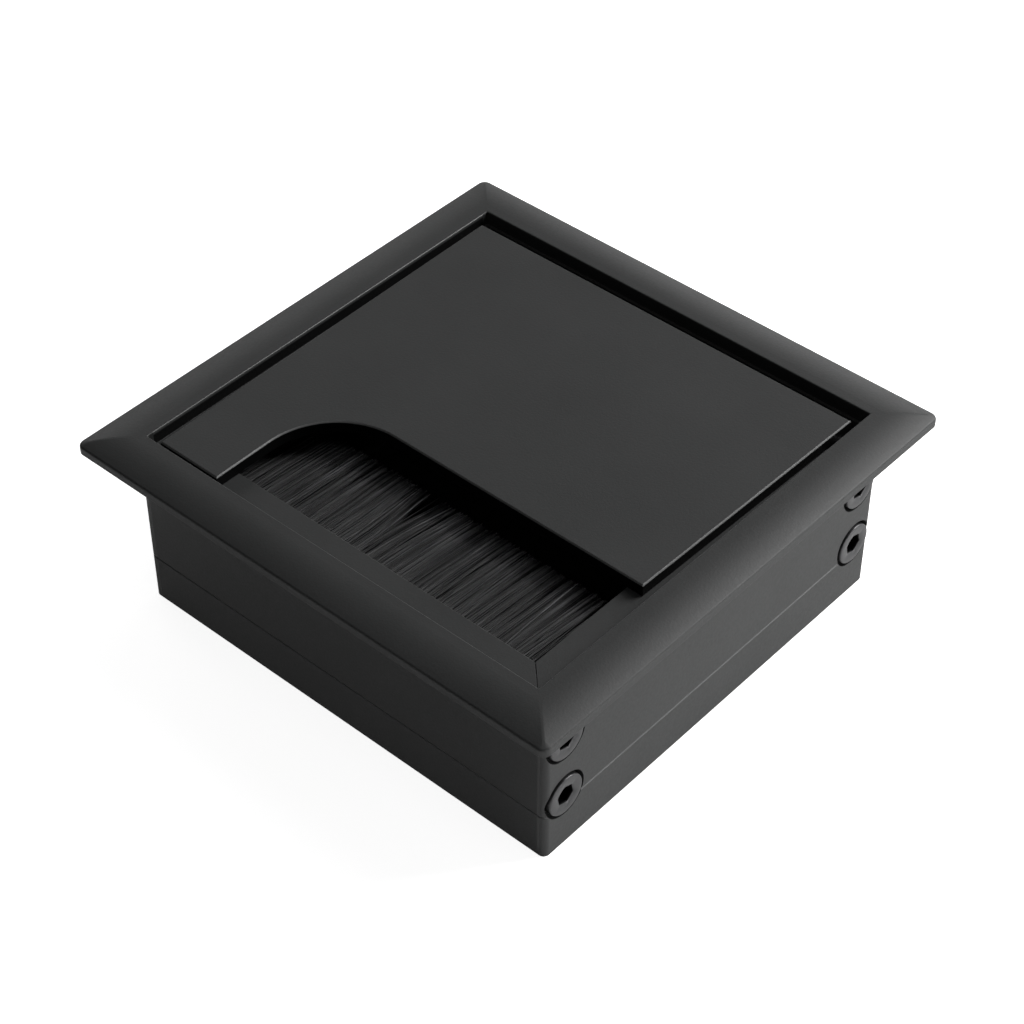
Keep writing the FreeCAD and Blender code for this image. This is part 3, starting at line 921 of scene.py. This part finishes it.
@dataclass
class BristlePack:
    """The strip brush's filaments, folded over their wire and fanned out past the channel.

    Those that pass over the wire and those that pass under it are a piece each. They stand in
    clumps that draw together toward the tips, and part in a narrow V where the brush has been
    combed open.
    """

    count: int = 1700
    filament_radius: float = 0.10 * MM
    rings: int = 9
    root_rings: int = 2
    sides: int = 4
    tip_width: float = 0.6
    root_heights: tuple = (0.35, 0.95)
    mouth_half_height: float = 0.6 * MM
    tip_half_height: float = 0.5 * MM
    droop: float = 1.3 * MM
    droop_power: float = 1.35
    past_solid: float = 0.8 * MM
    ragged_tips: float = 0.15 * MM
    clumps: int = 118
    uneven: float = 0.30
    clump_pull: tuple = (0.10, 0.50)
    clump_lean: float = 0.16 * MM
    clump_bow: float = 0.02 * MM
    clump_rise: float = 0.12 * MM
    clump_crown: float = 0.30 * MM
    rise_pace: float = 4.0
    own_lean: float = 0.05 * MM
    stray_share: float = 0.05
    stray_lean: float = 0.75 * MM
    stray_rise: float = 0.25 * MM
    clump_tone: float = 0.16
    own_tone: float = 0.50
    # Painted shade at the clump edges and painted light toward the tips, as factors on the nylon's
    # tone.
    clump_edge_shade: tuple = (0.60, 1.00)
    tip_painted_light: float = 9.0
    tip_painted_light_pace: float = 2.2
    parting_x: float = -2.3 * MM
    parting_left: float = 1.5 * MM
    parting_right: float = 1.1 * MM
    parting_reach: float = 5.5 * MM
    parting_start: float = 0.22
    parting_end: float = 1.15
    parting_gain: float = 1.25
    seed: int = 11
    nylon: Filament = Filament()

    def build(self) -> None:
        """Make both rows of filaments, and let them stand for the plain bristle solid."""
        nylon = self.nylon.material("black_nylon")
        for row in Row:
            chance = np.random.default_rng(self.seed + row.value)
            line, clump = self.centre_lines(row, chance)
            points, quads = self.filaments(line, chance)
            piece = mesh_piece(f"brush_filaments_{row.name.lower()}", points, quads)
            tone = np.repeat(self.tone_and_painted_light(line, clump, chance), self.sides, axis=1)
            carry(piece, self.nylon.tone_and_light_name, tone)
            finish_piece(piece, nylon, FRAME_BODY, "brush_bristles")

    def tone_and_painted_light(self, line: np.ndarray, clump: np.ndarray, chance: np.random.Generator) -> np.ndarray:
        """How light the nylon is, as a share of its colour.

        Each clump and each filament has a tone of its own. It falls toward the clump's edges as
        painted shade, and rises toward the tips as painted light, which brightens them in the lid's
        shadow.

        Args:
            line: Array of filament, ring and X, Y, Z.
            clump: Each filament's clump.
            chance: Source of the draws.

        Returns:
            Array of filament and ring.
        """
        own = chance.normal(0.0, self.own_tone, self.count)
        tone = np.exp(self.per_clump(self.clump_tone, Draw.TONE)[clump] + own)
        # Painted shade toward the clump's edges.
        depth = self.stream(Draw.DEPTH).uniform(*self.clump_edge_shade, self.clumps)[clump]
        edge = smooth_step(self.off_middle(line[:, 0, 0], clump) * 2.0 - 1.0)
        tone = tone * (1.0 - depth * edge)
        # Painted light toward the tips.
        from_tip = 1.0 - np.linspace(0.0, 1.0, self.rings)
        tip_light = 1.0 + self.tip_painted_light * smooth_step(1.0 - from_tip * self.tip_painted_light_pace) ** 2
        return tone[:, None] * tip_light[None, :]

    def centre_lines(
        self, row: Row, chance: np.random.Generator
    ) -> tuple[np.ndarray, np.ndarray]:
        """Work out the middle line of every filament of one row.

        Sideways a filament moves by its clump's shift, by the parting's push and by a lean of
        its own. A few strays lean more, and lie a little higher, across the others.

        Args:
            row: The row that the filaments belong to.
            chance: Source of the draws.

        Returns:
            Array of filament, ring and X, Y, Z, and each filament's clump.
        """
        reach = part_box("brush_bristles")[1].x - self.filament_radius
        x0 = np.sort(chance.uniform(-reach, reach, self.count))
        level = row.value * chance.uniform(0.0, 1.0, self.count)
        ragged = chance.normal(0.0, self.ragged_tips, self.count)
        stray = chance.random(self.count) < self.stray_share
        lean = chance.normal(0.0, 1.0, self.count)
        lean = lean * np.where(stray, self.stray_lean, self.own_lean)

        clump = self.clump_of(x0)
        share = np.linspace(0.0, 1.0, self.rings - self.root_rings)[None, :]
        crown = self.clump_crown * self.off_middle(x0, clump) ** 2
        rise = self.per_clump(self.clump_rise, Draw.RISE)[clump] + stray * self.stray_rise - crown
        sideways = self.clump_shift(x0, share, clump) + self.parting_shift(x0, share)
        free = np.clip(x0[:, None] + sideways + lean[:, None] * share, -reach, reach)
        x = np.concatenate([np.repeat(x0[:, None], self.root_rings, axis=1), free], axis=1)
        y = self.lengths(share, ragged)
        z = self.heights(row, share, level, rise)
        return np.stack([x, y, z], axis=-1), clump

    def lengths(self, share: np.ndarray, ragged: np.ndarray) -> np.ndarray:
        """Place of every ring along Y.

        The roots stand at the back of the channel and halfway to its mouth. The other rings
        share the length from the mouth to each filament's own end.

        Args:
            share: Free share of the length at each ring.
            ragged: How far each filament reaches past the common end.

        Returns:
            Array of filament and ring, in metres.
        """
        low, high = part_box("brush_bristles")
        root_y = low.y + self.filament_radius
        mouth_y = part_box("brush_channel")[1].y
        ends = high.y + self.past_solid + ragged
        free = mouth_y + (ends[:, None] - mouth_y) * share
        roots = np.repeat([[root_y, (root_y + mouth_y) / 2.0]], self.count, axis=0)
        return np.concatenate([roots, free], axis=1)

    def heights(
        self, row: Row, share: np.ndarray, level: np.ndarray, rise: np.ndarray
    ) -> np.ndarray:
        """Place of every ring along Z.

        The root rings stand at shares of the height beside the core wire, above or below it.
        From the channel's mouth a filament falls toward its tip by the droop times a power of
        the free share of its length, and soon stands higher or lower by its rise.

        Args:
            row: The row that the filaments belong to.
            share: Free share of the length at each ring.
            level: Each filament's place in the row's height, up to 1 or down to -1.
            rise: How much higher each filament stands past the mouth.

        Returns:
            Array of filament and ring, in metres.
        """
        low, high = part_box("brush_core_wire")
        middle = (low.z + high.z) / 2.0
        wire_half = (high.z - low.z) / 2.0 + 2.0 * self.filament_radius
        half = self.mouth_half_height + (self.tip_half_height - self.mouth_half_height) * share
        fall = self.droop * share**self.droop_power
        lifted = rise[:, None] * smooth_step(share * self.rise_pace)
        free = middle + level[:, None] * half - fall + lifted
        at_wire = row.value * wire_half + level * self.mouth_half_height
        roots = middle + at_wire[:, None] * np.array([self.root_heights])
        return np.concatenate([roots, free], axis=1)

    def pitch(self) -> float:
        """Even distance from clump to clump, in metres."""
        low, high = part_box("brush_bristles")
        return (high.x - low.x) / self.clumps

    def clump_middles(self) -> np.ndarray:
        """Places of the clumps along the channel, at an even pitch moved by uneven draws.

        Returns:
            Each clump's place along X, in order.
        """
        chance = np.random.default_rng(self.seed)
        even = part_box("brush_bristles")[0].x + self.pitch() * (np.arange(self.clumps) + 0.5)
        return np.sort(even + chance.normal(0.0, self.uneven, self.clumps) * self.pitch())

    def clump_of(self, x0: np.ndarray) -> np.ndarray:
        """Number of the clump whose middle is nearest to each filament's root."""
        middles = self.clump_middles()
        return np.searchsorted((middles[1:] + middles[:-1]) / 2.0, x0)

    def off_middle(self, x0: np.ndarray, clump: np.ndarray) -> np.ndarray:
        """How far each root lies from its clump's middle, up to 1 at half the even pitch."""
        away = np.abs(x0 - self.clump_middles()[clump])
        return np.minimum(away / (self.pitch() / 2.0), 1.0)

    def stream(self, draw: Draw) -> np.random.Generator:
        """Source of one kind of draw for the clumps, the same in both rows."""
        return np.random.default_rng((self.seed, draw.value))

    def per_clump(self, spread: float, draw: Draw) -> np.ndarray:
        """One value for each clump, with a standard deviation, from the stream of its kind."""
        return self.stream(draw).normal(0.0, spread, self.clumps)

    def clump_shift(self, x0: np.ndarray, share: np.ndarray, clump: np.ndarray) -> np.ndarray:
        """Sideways movement that gathers the filaments in clumps, the same in both rows.

        A filament moves in by a share of its distance to its clump's middle, and goes with the
        clump's lean, which grows with the free share, and its bow, half a sine wave.

        Args:
            x0: Each filament's place along the channel.
            share: Free share of the length at each ring.
            clump: Each filament's clump.

        Returns:
            Array of filament and ring, in metres.
        """
        pull = self.stream(Draw.PULL).uniform(*self.clump_pull, self.clumps)[clump][:, None]
        lean = self.per_clump(self.clump_lean, Draw.LEAN)[clump][:, None]
        bow = self.per_clump(self.clump_bow, Draw.BOW)[clump][:, None]
        inward = (self.clump_middles()[clump] - x0)[:, None] * pull
        return (inward + lean) * share + bow * np.sin(math.pi * share)

    def parting_shift(self, x0: np.ndarray, share: np.ndarray) -> np.ndarray:
        """Sideways push away from the parting, from its start to the tips.

        It fades with distance from the parting as a falling exponential.

        Args:
            x0: Each filament's place along the channel.
            share: Free share of the length at each ring.

        Returns:
            Array of filament and ring, in metres.
        """
        away = x0 - self.parting_x
        push = np.where(away < 0.0, -self.parting_left, self.parting_right)
        fade = np.exp(-np.abs(away) / self.parting_reach)
        length = self.parting_end - self.parting_start
        opening = self.parting_gain * smooth_step((share - self.parting_start) / length)
        return (push * fade)[:, None] * opening

    def filaments(
        self, line: np.ndarray, chance: np.random.Generator
    ) -> tuple[np.ndarray, np.ndarray]:
        """Carry a square section along every middle line and close both ends.

        Each ring is the middle point plus the radius times the cosine and sine of four
        angles in the XZ plane, and the radius narrows at the tip.

        Args:
            line: Array of filament, ring and X, Y, Z.
            chance: Source of the draws.

        Returns:
            Vertices, and faces of four.
        """
        turn = chance.uniform(0.0, math.pi / 2.0, self.count)[:, None]
        corner = turn + np.arange(self.sides)[None, :] * 2.0 * math.pi / self.sides
        radius = np.full(self.rings, self.filament_radius)
        radius[-1] *= self.tip_width
        across = np.cos(corner)[:, None, :] * radius[None, :, None]
        upward = np.sin(corner)[:, None, :] * radius[None, :, None]
        offset = np.stack([across, np.zeros_like(across), upward], axis=-1)
        points = (line[:, :, None, :] + offset).reshape(-1, 3)
        walls = tube_quads(self.rings, self.sides)[:, ::-1]
        last = (self.rings - 1) * self.sides
        caps = np.array([[0, 1, 2, 3], [last + 3, last + 2, last + 1, last]])
        one = np.concatenate([walls, caps])
        shift = np.arange(self.count)[:, None, None] * self.rings * self.sides
        return points, (one[None, :, :] + shift).reshape(-1, 4)


@dataclass
class BrushHolder:
    """The folded channel that holds the filaments, and the wire inside it."""

    strip: BrightSteel = BrightSteel(
        dark=(0.10, 0.10, 0.105), light=(0.16, 0.16, 0.165), rough=0.42
    )
    wire: BrightSteel = BrightSteel()

    def build(self) -> None:
        """Give the channel and the wire their metals."""
        dress("brush_channel", self.strip.material("rolled_strip"))
        dress("brush_core_wire", self.wire.material("drawn_wire"))


def dress(node: str, material: bpy.types.Material) -> None:
    """Give a CAD node its finish.

    Args:
        node: The node's name.
        material: The material that replaces its packed one.
    """
    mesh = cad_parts[node].data
    mesh.materials.clear()
    mesh.materials.append(material)
    REPORT.info("%s dressed in %s", node, material.name)


def finish_piece(
    piece: bpy.types.Object, material: bpy.types.Material, body: str, node: str
) -> None:
    """Dress a new piece, let it ride on its body and stand for its CAD node.

    Args:
        piece: The piece, in place.
        material: Its material.
        body: The CAD body that it moves with.
        node: The CAD node that it replaces.
    """
    piece.data.materials.append(material)
    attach(piece, body)
    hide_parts(node)
    REPORT.info("%s: %d faces, stands for %s", piece.name, len(piece.data.polygons), node)


@dataclass(frozen=True)
class SoftLight:
    """One rectangular lamp, aimed at the object."""

    name: str
    place: tuple
    width: float
    height: float
    watts: float

    def build(self, target: Vector) -> None:
        """Hang the lamp.

        Args:
            target: The point that it faces.
        """
        data = bpy.data.lights.new(self.name, "AREA")
        data.shape = "RECTANGLE"
        data.size = self.width
        data.size_y = self.height
        data.energy = self.watts
        lamp = bpy.data.objects.new(self.name, data)
        lamp.location = self.place
        lamp.rotation_euler = (target - Vector(self.place)).to_track_quat("-Z", "Y").to_euler()
        bpy.context.scene.collection.objects.link(lamp)


@dataclass
class Studio:
    """Pale floor, soft lamps and the camera at the reference view."""

    floor_half: float = 1.6
    floor: PaleFloor = PaleFloor()
    ambient: float = 0.018
    mirrored: float = 0.02
    azimuth: float = math.radians(41.605)
    elevation: float = math.radians(42.758)
    distance: float = 0.3665
    aim: tuple = (0.00552, -0.00587, 0.02266)
    lens: float = 87.9
    clip: tuple = (0.01, 20.0)
    lamps: tuple = (
        SoftLight("key_high", (0.109, 0.381, 0.716), 0.45, 0.45, 1.0),
        SoftLight("key_back", (0.283, 0.588, 0.482), 0.40, 0.40, 6.6),
        SoftLight("low_back", (-0.129, 0.755, 0.230), 0.70, 0.25, 1.3),
        SoftLight("low_left", (-0.676, 0.312, 0.296), 0.50, 0.25, 0.68),
        SoftLight("over_front", (0.099, -0.263, 0.775), 0.40, 0.40, 0.5),
        SoftLight("low_card", (0.220, 0.030, 0.016), 0.40, 0.03, 0.3),
    )

    def build(self) -> None:
        """Make the floor, the world, the lamps and the camera."""
        self.make_floor()
        self.make_world()
        target = Vector(self.aim)
        for lamp in self.lamps:
            lamp.build(target)
        self.make_camera(target)
        bpy.context.scene.view_settings.view_transform = "Standard"

    def make_floor(self) -> None:
        """Lay one wide flat sheet at the height of the lower rim."""
        corners = np.array([[-1.0, -1.0, 0.0], [1.0, -1.0, 0.0], [1.0, 1.0, 0.0], [-1.0, 1.0, 0.0]])
        floor = mesh_piece("floor", corners * self.floor_half, np.array([[0, 1, 2, 3]]))
        floor.data.materials.append(self.floor.material("pale_floor"))

    def make_world(self) -> None:
        """Light everything a little from all round, and show white to the camera."""
        world = bpy.data.worlds.new("studio")
        bpy.context.scene.world = world
        world.use_nodes = True
        tree = world.node_tree
        tree.nodes.clear()
        out = tree.nodes.new("ShaderNodeOutputWorld")
        shade = tree.nodes.new("ShaderNodeBackground")
        shade.inputs["Color"].default_value = WHITE
        level = background_level(tree, self.ambient, 1.0 - self.ambient, self.mirrored)
        tree.links.new(level, shade.inputs["Strength"])
        tree.links.new(shade.outputs["Background"], out.inputs["Surface"])

    def make_camera(self, target: Vector) -> None:
        """Set the camera at its angle and distance from the aim point.

        Args:
            target: The point in the middle of the picture.
        """
        level = math.cos(self.elevation)
        back = Vector((
            math.sin(self.azimuth) * level,
            -math.cos(self.azimuth) * level,
            math.sin(self.elevation),
        ))
        data = bpy.data.cameras.new("camera")
        data.lens = self.lens
        data.clip_start, data.clip_end = self.clip
        camera = bpy.data.objects.new("camera", data)
        camera.location = target + back * self.distance
        camera.rotation_mode = "QUATERNION"
        camera.rotation_quaternion = (-back).to_track_quat("-Z", "Y")
        bpy.context.scene.collection.objects.link(camera)
        bpy.context.scene.camera = camera


def main() -> None:
    """Build every sub-assembly in order, then the studio."""
    logging.basicConfig(level=logging.INFO, format="%(name)s: %(message)s")
    for part in (Frame(), Hinge(), Screws(), BrushHolder(), BristlePack(), Studio()):
        part.build()
        REPORT.info("%s done", type(part).__name__)


if __name__ == "__main__":
    main()
